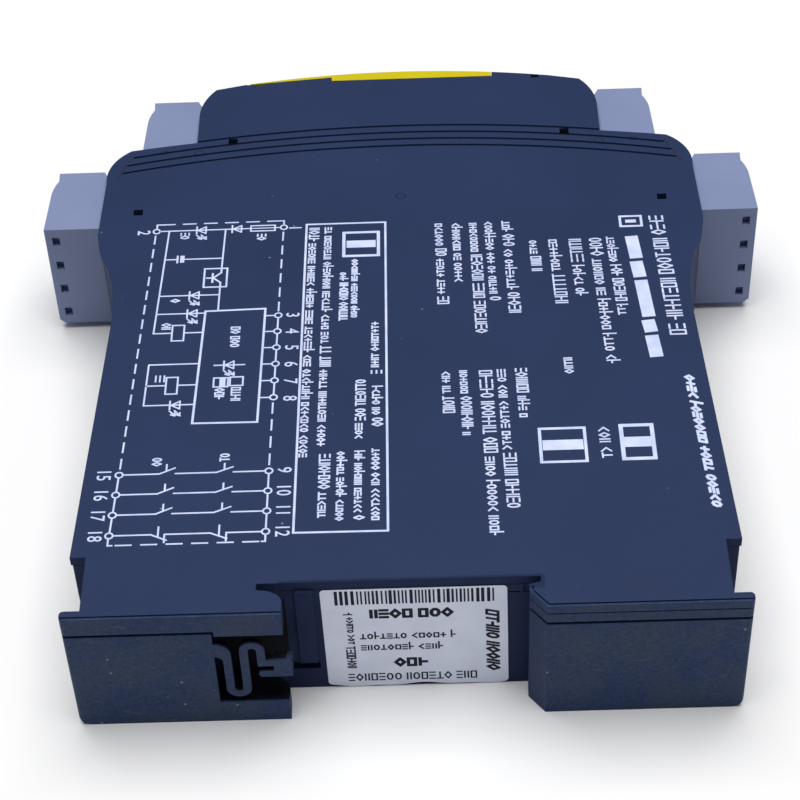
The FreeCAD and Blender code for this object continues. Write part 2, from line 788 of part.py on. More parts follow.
relay_long = size("relay_long", 40.0)
relay_wide = size("relay_wide", 12.8)
relay_gap = size("relay_gap", 2.2)
relay_round = size("relay_round", 0.9)
relay_high = top - board_top - relay_gap
for name, y in (("relay_one", 62.0), ("relay_two", 46.0)):
    relay = body(name, y=back)
    x0 = -relay_long / 2 - 2.0
    add(relay, "Foot", "XY", board_top,
        [rect(x0 - 0.3, y - 0.3, x0 + relay_long + 0.3, y + relay_wide + 0.3)], 1.4)
    add(relay, "Shell", "XY", board_top + 1.4,
        [rect(x0, y, x0 + relay_long, y + relay_wide)], relay_high - 1.4)
    high = (board_top + relay_high).value
    round_top = edges(relay, lambda p: abs(p.z - high) < 0.01)
    soften(relay, "Rounded", round_top, relay_round)
capacitor = body("capacitor", y=back)
add(capacitor, "Bung", "XY", board_top, [(-31.0, 58.0, 3.7)], 1.2)
add(capacitor, "Can", "XY", board_top + 1.1, [(-31.0, 58.0, 4.0)], 11.4)
power = body("power_parts", y=back)
add(power, "Choke", "XY", board_top, [rect(-12.0, 22.0, 0.5, 34.5)], 8.6)
add(power, "ChokeLid", "XY", board_top + 8.5, [(-5.75, 28.25, 5.2)], 0.6)
add(power, "Fuse", "XY", board_top, [rect(24.0, 22.0, 32.5, 30.5)], 7.6)
chips = body("logic_chips", y=back)
flats = [rect(6.0, 20.0, 16.0, 30.0), rect(6.0, 33.5, 16.0, 43.5)]
flats += [rect(-28.0, 20.0, -20.4, 30.4), rect(-28.0, 34.0, -20.4, 44.4)]
flats += [rect(23.0, 36.0, 30.6, 41.0), rect(23.0, 60.0, 30.6, 65.0)]
add(chips, "Flats", "XY", board_top, flats, 2.2)

# Front: a small upright board with lamps and the slide switch, a dark bezel
# over it, and the arched yellow cover that clips between the flat sides.
upright_y = case_depth - 8.2
upright = body("front_board", y=back)
add(upright, "Sheet", "XZ", upright_y, [rect(-18.6, board_top, 18.6, top - 0.8)], 1.5)
lamp_spots = (-16.0, -11.0, -6.0, -1.0)
lamp_y = upright_y + 1.5
lamps = body("indicator_leds", y=back)
squares = [rect(x - 1.5, mid - 1.3, x + 1.5, mid + 1.3) for x in lamp_spots]
add(lamps, "Lamps", "XZ", lamp_y, squares, 1.5)
bezel_low = case_depth - 4.9
pipe_wide = size("pipe_wide", 2.6)
pipe_high = size("pipe_high", 1.8)


def pipe_rects(room):
    """The oblong of each light pipe, wider all round by room."""
    a, b = pipe_wide / 2 + room, pipe_high / 2 + room
    return [rect(x - a, mid - b, x + a, mid + b) for x in lamp_spots]


pipes = body("light_pipes", y=back)
add(pipes, "Rods", "XZ", lamp_y + 1.6, pipe_rects(0.0), case_depth - 1.2 - lamp_y - 1.6)
bezel = body("front_bezel", y=back)
bezel_half = cover_half - 0.4
bezel_drop = bezel_thick + 0.6
curved = [
    (-bezel_half, bezel_low),
    (bezel_half, bezel_low),
    (bezel_half, arch(bezel_half) - bezel_drop),
    (-bezel_half, arch(bezel_half) - bezel_drop, arch_radius - bezel_drop, 1),
]
add(bezel, "Curved", "XY", skin + fit_gap, [curved], top - skin - fit_gap * 2)
switch_hole = rect(4.0, mid - 3.4, 15.0, mid + 3.4)
cut(bezel, "Windows", "XZ", bezel_low - 1.0, pipe_rects(0.15) + [switch_hole], 6.0)
switch = body("switch_body", y=back)
add(switch, "Case", "XZ", lamp_y, [rect(4.2, mid - 3.2, 14.8, mid + 3.2)], 3.8)
cut(switch, "Track", "XZ", lamp_y + 1.6, [rect(5.4, mid - 1.5, 13.6, mid + 1.5)], 4.0)
slider = body("switch_slider", y=back)
slide = [rect(5.6, mid - 1.4, 9.8, mid + 1.4)]
add(slider, "Sole", "XZ", lamp_y + 1.65, slide, 1.5)
add(slider, "Knob", "XZ", lamp_y + 3.1, [rect(6.6, mid - 1.0, 8.8, mid + 1.0)], 1.2)

cover = body("front_cover", y=back)
cover_in = cover_half - 0.2
shell = [
    (-cover_in, arch(cover_in) - bezel_thick),
    (cover_in, arch(cover_in) - bezel_thick, arch_radius - bezel_thick, -1),
    (cover_in, arch(cover_in)),
    (-cover_in, arch(cover_in), arch_radius, 1),
]
add(cover, "Shell", "XY", skin + 0.15, [shell], top - skin - 0.3)
flange = [
    (-cover_half + 0.6, arch(cover_half - 0.6) - 0.1),
    (-cover_lug_left, arch(cover_lug_left) - 0.6),
    (-cover_lug_left, case_depth - 2.0),
    (cover_lug_right, case_depth - 2.0),
    (cover_lug_right, arch(cover_lug_right)),
    (-cover_half + 0.6, arch(cover_half - 0.6), arch_radius, 1),
]
add(cover, "Flange", "XY", 0.0, [flange], case_thick)
cut(cover, "PipeHoles", "XZ", bezel_low, pipe_rects(0.2), 6.0)
notch = rect(cover_in - 1.2, mid - 3.0, cover_in + 1.0, mid + 3.0)
cut(cover, "PryNotch", "XZ", bezel_low, [notch], 6.0)

# Rail catch: a fork on a meander spring that takes up the play on the rail.
# On the real moulding both are one piece with the foot beside them.
wire = size("spring_wide", 1.15)
arm = size("arm_step", 2.3)
half_wire = wire / 2
arm_one = -window_left + 1.7
arm_two = arm_one + arm
arm_three = arm_two + arm
bend_low, bend_high = 7.1, 15.0
fork_top = 13.0
spring = body("catch_spring", y=back)
bends = [
    (-window_left, 16.6),
    (arm_one + half_wire, 14.3, 2.3, -1),
    (arm_one + half_wire, bend_low),
    (arm_two - half_wire, bend_low, None, 1),
    (arm_two - half_wire, bend_high),
    (arm_three + half_wire, bend_high, None, -1),
    (arm_three + half_wire, fork_top),
    (arm_three - half_wire, fork_top),
    (arm_three - half_wire, bend_high),
    (arm_two + half_wire, bend_high, None, 1),
    (arm_two + half_wire, bend_low),
    (arm_one - half_wire, bend_low, None, -1),
    (arm_one - half_wire, 13.0),
    (-window_left, 14.0, 1.2, 1),
]
spring_thick = size("spring_thick", 1.0)
add(spring, "Meander", "XZ", 0.0, [bends], spring_thick)
catch = body("rail_catch", y=back)
fork_end = -groove_left + 0.8
fork = [
    (arm_three - half_wire, fork_top),
    (arm_three - half_wire, 11.75),
    (-18.3, 11.75),
    (-18.3, 10.75),
    (arm_three + 0.1, 10.75),
    (arm_three + 0.1, 9.5, None, 1),
    (fork_end, 9.5),
    (fork_end, fork_top + 0.1),
    (arm_three + half_wire + 0.2, fork_top),
]
add(catch, "Fork", "XZ", 0.0, [fork], spring_thick)
add(catch, "Nose", "XZ", spring_thick - 0.1,
    [rect(-18.3, 9.6, fork_end, 11.6)], 1.8)
label = body("rear_label", y=back)
add(label, "Paper", "XZ", groove_deep - 0.15, [rect(-11.7, 0.35, 13.6, 20.6)], 0.15)


doc.recompute()
for thing in doc.Objects:
    if "Invalid" in thing.State or "Error" in thing.State:
        raise RuntimeError("%s is %s" % (thing.Label, thing.State))
bodies = [o for o in doc.Objects if o.TypeId == "PartDesign::Body"]
for made in bodies:
    if made.Shape.isNull() or not made.Shape.isValid():
        raise RuntimeError(made.Label + " has no valid shape")
os.makedirs("parts", exist_ok=True)
for made in bodies:
    made.Shape.exportStep(os.path.join("parts", made.Label + ".step"))
    box = made.Shape.BoundBox
    print("%-22s %7.2f %7.2f %7.2f  %7.2f %7.2f %7.2f  solids %d  volume %.1f" % (
        made.Label, box.XMin, box.YMin, box.ZMin, box.XMax, box.YMax, box.ZMax,
        len(made.Shape.Solids), made.Shape.Volume))
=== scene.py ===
import math
import random

import bmesh
import bpy
from mathutils import Matrix, Vector


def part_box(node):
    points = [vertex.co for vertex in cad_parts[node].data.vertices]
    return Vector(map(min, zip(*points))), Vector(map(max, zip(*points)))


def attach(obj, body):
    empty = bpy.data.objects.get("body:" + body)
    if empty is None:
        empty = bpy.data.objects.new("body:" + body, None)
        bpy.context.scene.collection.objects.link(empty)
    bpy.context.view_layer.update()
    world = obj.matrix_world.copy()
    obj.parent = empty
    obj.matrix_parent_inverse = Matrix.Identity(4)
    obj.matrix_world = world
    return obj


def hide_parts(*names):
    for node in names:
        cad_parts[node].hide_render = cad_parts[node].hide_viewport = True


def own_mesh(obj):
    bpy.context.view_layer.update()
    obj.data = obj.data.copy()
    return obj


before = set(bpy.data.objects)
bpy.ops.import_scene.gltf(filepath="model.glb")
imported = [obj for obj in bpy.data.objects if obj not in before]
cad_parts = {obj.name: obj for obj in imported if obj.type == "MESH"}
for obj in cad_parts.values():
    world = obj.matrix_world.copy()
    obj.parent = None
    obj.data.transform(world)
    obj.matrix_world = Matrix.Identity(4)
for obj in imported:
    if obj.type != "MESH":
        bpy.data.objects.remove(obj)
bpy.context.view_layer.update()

# ---------------------------------------------------------------------------
# Table, camera and studio light.
# The relay lies on a pale matt table, seen from its rail side and above.
# One wide lamp overhead lights the upper side; a dim room fills the rest.

MM = 0.001
scene = bpy.context.scene
scene.view_settings.view_transform = "Standard"

sight = bpy.data.cameras.new("relay_camera")
sight.lens = 100.19
sight.sensor_width = 36.0
sight.clip_start = 0.02
camera = bpy.data.objects.new("relay_camera", sight)
camera.location = (4.315 * MM, -250.381 * MM, 248.562 * MM)
camera.rotation_euler = (math.radians(45.5137), math.radians(1.8107), math.radians(-0.6065))
scene.collection.objects.link(camera)
scene.camera = camera


def lamp(name, place, target, width, height, watts, colour):
    """A flat soft lamp that faces its target."""
    light = bpy.data.lights.new(name, "AREA")
    light.shape = "RECTANGLE"
    light.size = width
    light.size_y = height
    light.energy = watts
    light.color = colour
    made = bpy.data.objects.new(name, light)
    made.location = place
    made.rotation_euler = (Vector(target) - Vector(place)).to_track_quat("-Z", "Y").to_euler()
    scene.collection.objects.link(made)


lamp("overhead_lamp", (0.0, 0.10, 1.10), (0.0, 0.0, 0.0), 1.0, 1.0, 15.0, (1.0, 0.995, 0.98))

room = bpy.data.worlds.new("pale_room")
room.use_nodes = True
room.node_tree.nodes["Background"].inputs["Color"].default_value = (0.86, 0.90, 1.0, 1.0)
room.node_tree.nodes["Background"].inputs["Strength"].default_value = 0.16
scene.world = room


def new_material(name, colour, roughness):
    """A material with its nodes, its shader and its object coordinates."""
    made = bpy.data.materials.new(name)
    made.use_nodes = True
    nodes = made.node_tree.nodes
    shader = nodes["Principled BSDF"]
    shader.inputs["Base Color"].default_value = colour + (1.0,)
    shader.inputs["Roughness"].default_value = roughness
    place = nodes.new("ShaderNodeTexCoord")
    return made, nodes, made.node_tree.links.new, shader, place.outputs["Object"]


def noise(nodes, link, coords, scale, detail=2.0):
    """A cloudy value from 0 to 1; a larger scale makes smaller clouds."""
    made = nodes.new("ShaderNodeTexNoise")
    made.inputs["Scale"].default_value = scale
    made.inputs["Detail"].default_value = detail
    link(coords, made.inputs["Vector"])
    return made.outputs["Fac"]


def ramp(nodes, link, source, dark, light, start=0.3, stop=0.7):
    """Turns a value into a colour, from dark at start to light at stop."""
    made = nodes.new("ShaderNodeValToRGB")
    ends = made.color_ramp.elements
    for end, place, colour in ((ends[0], start, dark), (ends[1], stop, light)):
        end.position = place
        end.color = colour + (1.0,)
    link(source, made.inputs["Fac"])
    return made.outputs["Color"]


def mottle(nodes, link, shader, coords, scale, dark, light, detail=2.0, start=0.3, stop=0.7):
    """Colours a surface in soft clouds of two near tones, and returns the clouds."""
    cloud = noise(nodes, link, coords, scale, detail)
    link(ramp(nodes, link, cloud, dark, light, start, stop), shader.inputs["Base Color"])
    return cloud


TABLE_HALF = 3.0    # metres
bm = bmesh.new()
bmesh.ops.create_grid(bm, x_segments=1, y_segments=1, size=TABLE_HALF)
table_mesh = bpy.data.meshes.new("table")
bm.to_mesh(table_mesh)
bm.free()
table = bpy.data.objects.new("table", table_mesh)
scene.collection.objects.link(table)
paint, nodes, link, shader, coords = new_material("pale_table", (0.90, 0.90, 0.91), 0.7)
shader.inputs["Specular IOR Level"].default_value = 0.2
mottle(nodes, link, shader, coords, 3.0, (0.90, 0.90, 0.905), (0.92, 0.92, 0.925))
table.data.materials.append(paint)

# ---------------------------------------------------------------------------
# Case: base tray and flat lid, snapped together, with the feet and rail hooks.
# Dark slate-blue polyamide, moulded with a fine spark texture. Handling leaves dust
# on the flat side, and rubbing leaves a pale haze and scratches on the feet.

lid_low, lid_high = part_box("side_cover")
rear = lid_low.y
lid_top = lid_high.z
SPARK_TEXTURE = 0.012 * MM
EASED_EDGE = 0.22 * MM
SLATE = (0.0155, 0.0302, 0.088)
# A darker, bluer copy of the slate, painted on the rail-side faces of the feet for how they are
# lit.
RAIL_FACE_PAINTED_LIGHT = (0.0145, 0.0350, 0.104)
HAZE = (0.040, 0.060, 0.092)
PITTED = (0.007, 0.016, 0.052)
GRITTY = (0.058, 0.078, 0.120)
SCRATCHED = (0.085, 0.105, 0.155)
DUSTY = (0.30, 0.34, 0.44)
# Painted shade laid over the rail groove.
GROOVE_PAINTED_SHADE = (0.003, 0.006, 0.022)
# Painted shade for the pocket behind the catch.
UNLIT = (0.0006, 0.0008, 0.0018)


def span(nodes, link, source, start, stop, low=0.0, high=1.0):
    """Turns the range start..stop of a value into low..high."""
    made = nodes.new("ShaderNodeMapRange")
    made.inputs["From Min"].default_value = start
    made.inputs["From Max"].default_value = stop
    made.inputs["To Min"].default_value = low
    made.inputs["To Max"].default_value = high
    link(source, made.inputs["Value"])
    return made.outputs["Result"]


def sums(nodes, link, kind, *values):
    """One step of arithmetic; each value is a number or another node's output."""
    made = nodes.new("ShaderNodeMath")
    made.operation = kind
    for socket, value in zip(made.inputs, values):
        if isinstance(value, float):
            socket.default_value = value
        else:
            link(value, socket)
    return made.outputs["Value"]


def tint(nodes, link, share, under, over):
    """Lays the colour over on the colour under, by a share from 0 to 1."""
    COLOUR_A, COLOUR_B, COLOUR_OUT = 6, 7, 2
    made = nodes.new("ShaderNodeMix")
    made.data_type = "RGBA"
    link(share, made.inputs["Factor"])
    for place, colour in ((COLOUR_A, under), (COLOUR_B, over)):
        socket = made.inputs[place]
        if isinstance(colour, tuple):
            socket.default_value = colour + (1.0,)
        else:
            link(colour, socket)
    return made.outputs[COLOUR_OUT]


def lay(nodes, link, share, strength, under, over):
    """Lays the colour over on the colour under, by a share at a strength."""
    return tint(nodes, link, sums(nodes, link, "MULTIPLY", share, strength), under, over)


def grain(nodes, link, shader, height, depth, edge=0.0):
    """Surface texture from a height pattern, depth in metres.

    With a radius for its edges they are eased, and a share that marks the edges is returned, used
    to lay them paler as wear and painted highlight.
    """
    made = nodes.new("ShaderNodeBump")
    made.inputs["Distance"].default_value = depth
    link(height, made.inputs["Height"])
    link(made.outputs["Normal"], shader.inputs["Normal"])
    if not edge:
        return None
    eased = nodes.new("ShaderNodeBevel")
    eased.samples = 4
    eased.inputs["Radius"].default_value = edge
    link(eased.outputs["Normal"], made.inputs["Normal"])
    face = nodes.new("ShaderNodeNewGeometry")
    lean = nodes.new("ShaderNodeVectorMath")
    lean.operation = "DOT_PRODUCT"
    link(eased.outputs["Normal"], lean.inputs[0])
    link(face.outputs["Normal"], lean.inputs[1])
    return span(nodes, link, lean.outputs["Value"], 0.995, 0.80)


def within(nodes, link, axes, corner_a, corner_b):
    """1 inside a box of the object, 0 outside it, with corners in millimetres."""
    share = None
    for axis, a, b in zip("XYZ", corner_a, corner_b):
        near = sums(nodes, link, "COMPARE", axes.outputs[axis], (a + b) / 2 * MM,
                    (b - a) / 2 * MM)
        share = near if share is None else sums(nodes, link, "MULTIPLY", share, near)
    return share


def most(nodes, link, shares):
    """The largest of several shares."""
    largest = shares[0]
    for share in shares[1:]:
        largest = sums(nodes, link, "MAXIMUM", largest, share)
    return largest


def specks(nodes, link, coords, cells, size, kept, stretch=(1.0, 1.0, 1.0), turn=0.0):
    """Scattered dust, or fibres where the cells are stretched."""
    place = nodes.new("ShaderNodeMapping")
    place.inputs["Scale"].default_value = stretch
    place.inputs["Rotation"].default_value = (0.0, 0.0, turn)
    link(coords, place.inputs["Vector"])
    cell = nodes.new("ShaderNodeTexVoronoi")
    cell.inputs["Scale"].default_value = cells
    link(place.outputs["Vector"], cell.inputs["Vector"])
    tone = nodes.new("ShaderNodeSeparateColor")
    link(cell.outputs["Color"], tone.inputs["Color"])
    dot = span(nodes, link, cell.outputs["Distance"], size, size * 0.5)
    some = sums(nodes, link, "GREATER_THAN", tone.outputs["Red"], 1.0 - kept)
    faint = sums(nodes, link, "MULTIPLY", some, tone.outputs["Green"])
    return sums(nodes, link, "MULTIPLY", dot, faint)


def scratches(nodes, link, coords, turn, cut):
    """Long thin wisps that lean one way; a higher cut leaves fewer."""
    place = nodes.new("ShaderNodeMapping")
    place.inputs["Rotation"].default_value = (0.0, turn, turn)
    place.inputs["Scale"].default_value = (0.16, 1.0, 1.0)
    link(coords, place.inputs["Vector"])
    wisp = noise(nodes, link, place.outputs["Vector"], 3800.0, 1.0)
    return span(nodes, link, wisp, cut, cut + 0.05)


def patches(nodes, link, coords, where, scale, detail, start, stop):
    """Clouds kept to one place; a higher start and stop leave fewer."""
    cloud = noise(nodes, link, coords, scale, detail)
    return sums(nodes, link, "MULTIPLY", where, span(nodes, link, cloud, start, stop))


def mould_ring(nodes, link, flat, x, y, radius):
    """The thin ring that an ejector pin leaves in a moulded face."""
    reach = nodes.new("ShaderNodeVectorMath")
    reach.operation = "DISTANCE"
    link(flat, reach.inputs[0])
    reach.inputs[1].default_value = (x * MM, y * MM, 0.0)
    off = sums(nodes, link, "SUBTRACT", reach.outputs["Value"], radius * MM)
    return span(nodes, link, sums(nodes, link, "ABSOLUTE", off), 0.20 * MM, 0.08 * MM)


def case_plastic(name, colour, rings=()):
    """Slate plastic with its wear, painted shade in the rail groove and the catch pocket, and
    edges laid paler as wear and painted highlight; rings are ejector marks as x, y and radius.
    """
    made, nodes, link, shader, coords = new_material(name, colour, 0.55)
    shader.inputs["Specular IOR Level"].default_value = 0.16
    axes = nodes.new("ShaderNodeSeparateXYZ")
    link(coords, axes.inputs["Vector"])
    cloud = noise(nodes, link, coords, 45.0, 3.0)
    dark = tuple(c * 0.93 for c in colour)
    light = tuple(c * 1.07 for c in colour)
    tone = ramp(nodes, link, cloud, dark, light)

    height = noise(nodes, link, coords, 4200.0)
    if rings:
        flat = nodes.new("ShaderNodeVectorMath")
        flat.operation = "MULTIPLY"
        link(coords, flat.inputs[0])
        flat.inputs[1].default_value = (1.0, 1.0, 0.0)
        sunk = most(nodes, link, [mould_ring(nodes, link, flat.outputs["Vector"], *ring)
                                  for ring in rings])
        height = sums(nodes, link, "SUBTRACT", height, sums(nodes, link, "MULTIPLY", sunk, 4.0))
        tone = lay(nodes, link, sunk, 0.55, tone, tuple(c * 0.35 for c in colour))
    edge_wear_and_highlight = grain(nodes, link, shader, height, SPARK_TEXTURE, EASED_EDGE)

    # Rear faces of the feet: a darker, bluer copy of the slate painted for how they are lit, then
    # cloudy, pitted, gritty and scratched.
    foot = span(nodes, link, axes.outputs["Y"], rear + 0.7 * MM, rear + 0.3 * MM)
    # Painted light: the rail-side faces take a darker, bluer copy of the slate.
    tone = tint(nodes, link, foot, tone, RAIL_FACE_PAINTED_LIGHT)
    haze = patches(nodes, link, coords, foot, 130.0, 5.0, 0.38, 0.72)
    tone = lay(nodes, link, haze, 0.70, tone, HAZE)
    pits = patches(nodes, link, coords, foot, 1500.0, 3.0, 0.46, 0.66)
    tone = lay(nodes, link, pits, 0.40, tone, PITTED)
    grit = patches(nodes, link, coords, foot, 2600.0, 2.0, 0.58, 0.72)
    tone = lay(nodes, link, grit, 0.45, tone, GRITTY)
    rubs = most(nodes, link, [scratches(nodes, link, coords, turn, 0.70)
                              for turn in (0.5, 1.0, -0.7)])
    rubs = sums(nodes, link, "MULTIPLY", foot, rubs)
    tone = lay(nodes, link, rubs, 0.45, tone, SCRATCHED)

    # Dust, fibres and chips.
    dust = specks(nodes, link, coords, 300.0, 0.060, 0.20)
    fibre = specks(nodes, link, coords, 170.0, 0.05, 0.12, (1.0, 0.22, 1.0), 0.6)
    chips = sums(nodes, link, "MULTIPLY", foot, specks(nodes, link, coords, 420.0, 0.10, 0.12))
    loose = most(nodes, link, [dust, fibre, chips])
    tone = lay(nodes, link, loose, 0.75, tone, DUSTY)

    # Edges laid paler, partly as rubbing wear and partly as painted highlight; the rail groove
    # darkened as painted shade, and the pocket behind the catch painted near black as shade, too
    # deep for light to reach.
    # Painted highlight and wear: the eased edges are laid paler.
    edge_wear_and_highlight_tone = tuple(c * 1.8 + 0.004 for c in colour)
    tone = lay(nodes, link, edge_wear_and_highlight, 0.6, tone, edge_wear_and_highlight_tone)
    # Painted shade: the rail groove is darkened.
    groove = within(nodes, link, axes, (-17.2, -56.5, -1.0), (18.6, -54.0, 23.0))
    tone = lay(nodes, link, groove, 0.32, tone, GROOVE_PAINTED_SHADE)
    # Painted shade: the pocket behind the catch is painted near black.
    pocket = within(nodes, link, axes, (-26.3, rear / MM + 0.25, 4.15), (-16.5, -54.2, 19.25))
    tone = lay(nodes, link, pocket, 0.93, tone, UNLIT)
    link(tone, shader.inputs["Base Color"])

    sheen = span(nodes, link, noise(nodes, link, coords, 900.0), 0.0, 1.0, 0.48, 0.62)
    dull = sums(nodes, link, "MULTIPLY", most(nodes, link, [haze, groove, pocket]), 0.75)
    link(sums(nodes, link, "MAXIMUM", sheen, dull), shader.inputs["Roughness"])
    return made


def give(node, material):
    """Gives a CAD piece its finish."""
    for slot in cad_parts[node].material_slots:
        slot.material = material


def finish(bm, name, material, body):
    """Makes a finished piece of a bmesh, with one material, riding on a body."""
    mesh = bpy.data.meshes.new(name)
    bm.to_mesh(mesh)
    bm.free()
    mesh.materials.append(material)
    piece = bpy.data.objects.new(name, mesh)
    scene.collection.objects.link(piece)
    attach(piece, body)
    return piece


def block(bm, corner_a, corner_b):
    """A block between two corners in millimetres."""
    a, b = Vector(corner_a) * MM, Vector(corner_b) * MM
    place = Matrix.Translation((a + b) / 2) @ Matrix.Diagonal((b - a).to_4d())
    place[3][3] = 1.0
    bmesh.ops.create_cube(bm, size=1.0, matrix=place)


slate = case_plastic("slate_plastic", SLATE)
ejector_rings = ((-32.7, 39.15, 0.75), (32.8, 39.2, 0.8), (-38.5, 39.6, 0.5),
                 (38.5, 39.6, 0.5), (0.2, 26.6, 0.7))
give("base_housing", slate)
give("side_cover", case_plastic("lid_slate_plastic", SLATE, ejector_rings))

# The arc grooves end in short hooks round the corners of the lid, where thin dark slabs paint the
# shade in them.
hook_turn = -58.0    # degrees, on the right; mirrored on the left
hook = Matrix.Diagonal((1.35 * MM, 0.42 * MM, 0.012 * MM, 1.0))
bm = bmesh.new()
for side in (-1, 1):
    for x, y in ((43.82, 37.88), (44.82, 35.86), (45.42, 33.90)):
        middle = Matrix.Translation((side * x * MM, y * MM, lid_top))
        turn = Matrix.Rotation(math.radians(side * hook_turn), 4, "Z")
        bmesh.ops.create_cube(bm, size=1.0, matrix=middle @ turn @ hook)
groove_dark, nodes, link, shader, coords = new_material("groove_shade", (0.004, 0.007, 0.024), 0.8)
mottle(nodes, link, shader, coords, 900.0, (0.003, 0.006, 0.020), (0.006, 0.010, 0.030))
# Painted shade: dark slabs on the lid stand for the shade in the hooks.
finish(bm, "groove_hook_shade", groove_dark, "case")

# Webs across the two small windows beside the front cover, over dark slabs that paint the shade
# inside the windows.
bm = bmesh.new()
block(bm, (22.67, 56.55, 21.05), (24.13, 57.08, 22.49))
block(bm, (-24.13, 56.55, 21.05), (-22.67, 57.08, 22.49))
block(bm, (23.92, 57.10, 21.05), (24.13, 57.78, 22.49))
finish(bm, "window_webs", slate, "case")
# Painted shade: near-black slabs under the webs.
bm = bmesh.new()
block(bm, (22.67, 57.10, 21.03), (23.90, 57.80, 21.40))
block(bm, (-24.13, 57.10, 21.03), (-22.67, 57.50, 21.40))
finish(bm, "window_floor_shade", groove_dark, "case")

# ---------------------------------------------------------------------------
# Rail catch and its meander spring.
# One thin moulding of the same polyamide in the left foot, a little paler than the case.

spring_slate = case_plastic("spring_slate_plastic", (0.020, 0.031, 0.070))
give("rail_catch", spring_slate)
spring = bmesh.new()
spring.from_mesh(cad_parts["catch_spring"].data)
bmesh.ops.remove_doubles(spring, verts=spring.verts, dist=0.001 * MM)
wire = finish(spring, "meander_spring", spring_slate, "case")
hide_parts("catch_spring")
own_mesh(wire)

# ---------------------------------------------------------------------------
# Terminal plugs and the headers that take them.
# Grey-blue polyamide blocks of four poles, pushed onto pins inside the case.
# They are moulded smoother than the case, with clean sharp edges.


def plug_plastic(name, colour, painted_shade_boxes=()):
    """Grey-blue plastic; the boxes given are painted near black as the shade behind a window."""
    made, nodes, link, shader, coords = new_material(name, colour, 0.45)
    shader.inputs["Specular IOR Level"].default_value = 0.25
    axes = nodes.new("ShaderNodeSeparateXYZ")
    link(coords, axes.inputs["Vector"])
    cloud = noise(nodes, link, coords, 60.0, 4.0)
    dark = tuple(c * 0.95 for c in colour)
    light = tuple(c * 1.05 for c in colour)
    tone = ramp(nodes, link, cloud, dark, light)
    fine = noise(nodes, link, coords, 3800.0)
    edge_wear_and_highlight = grain(nodes, link, shader, fine, 0.008 * MM, 0.18 * MM)
    # Painted highlight: the eased edges of the plugs are laid paler.
    tone = lay(nodes, link, edge_wear_and_highlight, 0.6, tone, tuple(c * 1.45 for c in colour))
    dust = specks(nodes, link, coords, 420.0, 0.06, 0.14)
    tone = lay(nodes, link, dust, 0.40, tone, (0.10, 0.11, 0.14))
    # Painted shade: boxes behind the snap windows are painted near black.
    if painted_shade_boxes:
        shade_masks = [within(nodes, link, axes, *corners) for corners in painted_shade_boxes]
        tone = tint(nodes, link, most(nodes, link, shade_masks), tone, (0.002, 0.002, 0.004))
    link(tone, shader.inputs["Base Color"])
    link(span(nodes, link, cloud, 0.2, 0.8, 0.40, 0.50), shader.inputs["Roughness"])
    return made


GREY_BLUE = (0.205, 0.250, 0.415)
grey = plug_plastic("plug_grey_plastic", GREY_BLUE)
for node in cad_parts:
    if node.startswith("plug_"):
        give(node, grey)
# Painted shade: the header behind each snap window is painted near black.
shade_behind_windows = [((x - 1.1, y - 1.2, 20.0), (x + 1.1, y + 1.2, 22.0))
                  for x, y in ((41.7, 24.4), (-41.7, 24.4), (27.3, 42.3), (-27.3, 42.3))]
give("terminal_headers", plug_plastic("header_grey_plastic", GREY_BLUE, shade_behind_windows))

# ---------------------------------------------------------------------------
# Clamp screws, cages, contact strips and header pins.
# Zinc-plated steel screws and cages, and tinned copper strips and pins, held
# inside the plugs and soldered to the board.


def plated_metal(name, colour, roughness, streaks):
    """Dull plating with brushed lines along the axis whose streak scale is small."""
    made, nodes, link, shader, coords = new_material(name, colour, roughness)
    shader.inputs["Metallic"].default_value = 1.0
    dark = tuple(c * 0.82 for c in colour)
    mottle(nodes, link, shader, coords, 700.0, dark, colour, 3.0, 0.35, 0.65)
    place = nodes.new("ShaderNodeMapping")
    place.inputs["Scale"].default_value = streaks
    link(coords, place.inputs["Vector"])
    brushed = noise(nodes, link, place.outputs["Vector"], 4000.0)
    grain(nodes, link, shader, brushed, 0.004 * MM, 0.08 * MM)
    link(span(nodes, link, brushed, 0.2, 0.8, roughness - 0.08, roughness + 0.10),
         shader.inputs["Roughness"])
    return made


zinc = plated_metal("zinc_plated_steel", (0.60, 0.60, 0.57), 0.32, (1.0, 0.15, 1.0))
tin = plated_metal("tinned_copper", (0.66, 0.64, 0.60), 0.38, (0.1, 1.0, 1.0))
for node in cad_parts:
    if node.startswith(("screw_", "cage_")):
        give(node, zinc)
    if node.startswith("contacts_") or node == "header_pins":
        give(node, tin)

# ---------------------------------------------------------------------------
# Main board and front board.
# Glass-fibre board under green solder mask, with copper tracks that show through
# as paler lines, and tinned pads.


def solder_mask():
    """Green mask in bands over the tracks, with pads as scattered pale dots."""
    made, nodes, link, shader, coords = new_material("solder_mask", (0.01, 0.09, 0.035), 0.30)
    tracks = nodes.new("ShaderNodeTexBrick")
    tracks.inputs["Scale"].default_value = 160.0
    tracks.inputs["Mortar Size"].default_value = 0.035
    tracks.inputs["Brick Width"].default_value = 1.3
    tracks.inputs["Row Height"].default_value = 0.45
    tracks.inputs["Color1"].default_value = (0.010, 0.085, 0.030, 1.0)
    tracks.inputs["Color2"].default_value = (0.013, 0.105, 0.040, 1.0)
    tracks.inputs["Mortar"].default_value = (0.040, 0.190, 0.080, 1.0)
    link(coords, tracks.inputs["Vector"])
    pads = specks(nodes, link, coords, 300.0, 0.18, 0.35)
    tone = tint(nodes, link, pads, tracks.outputs["Color"], (0.55, 0.54, 0.48))
    link(tone, shader.inputs["Base Color"])
    grain(nodes, link, shader, tracks.outputs["Fac"], 0.02 * MM)
    link(span(nodes, link, pads, 0.0, 1.0, 0.28, 0.42), shader.inputs["Roughness"])
    return made


mask = solder_mask()
give("main_board", mask)
give("front_board", mask)

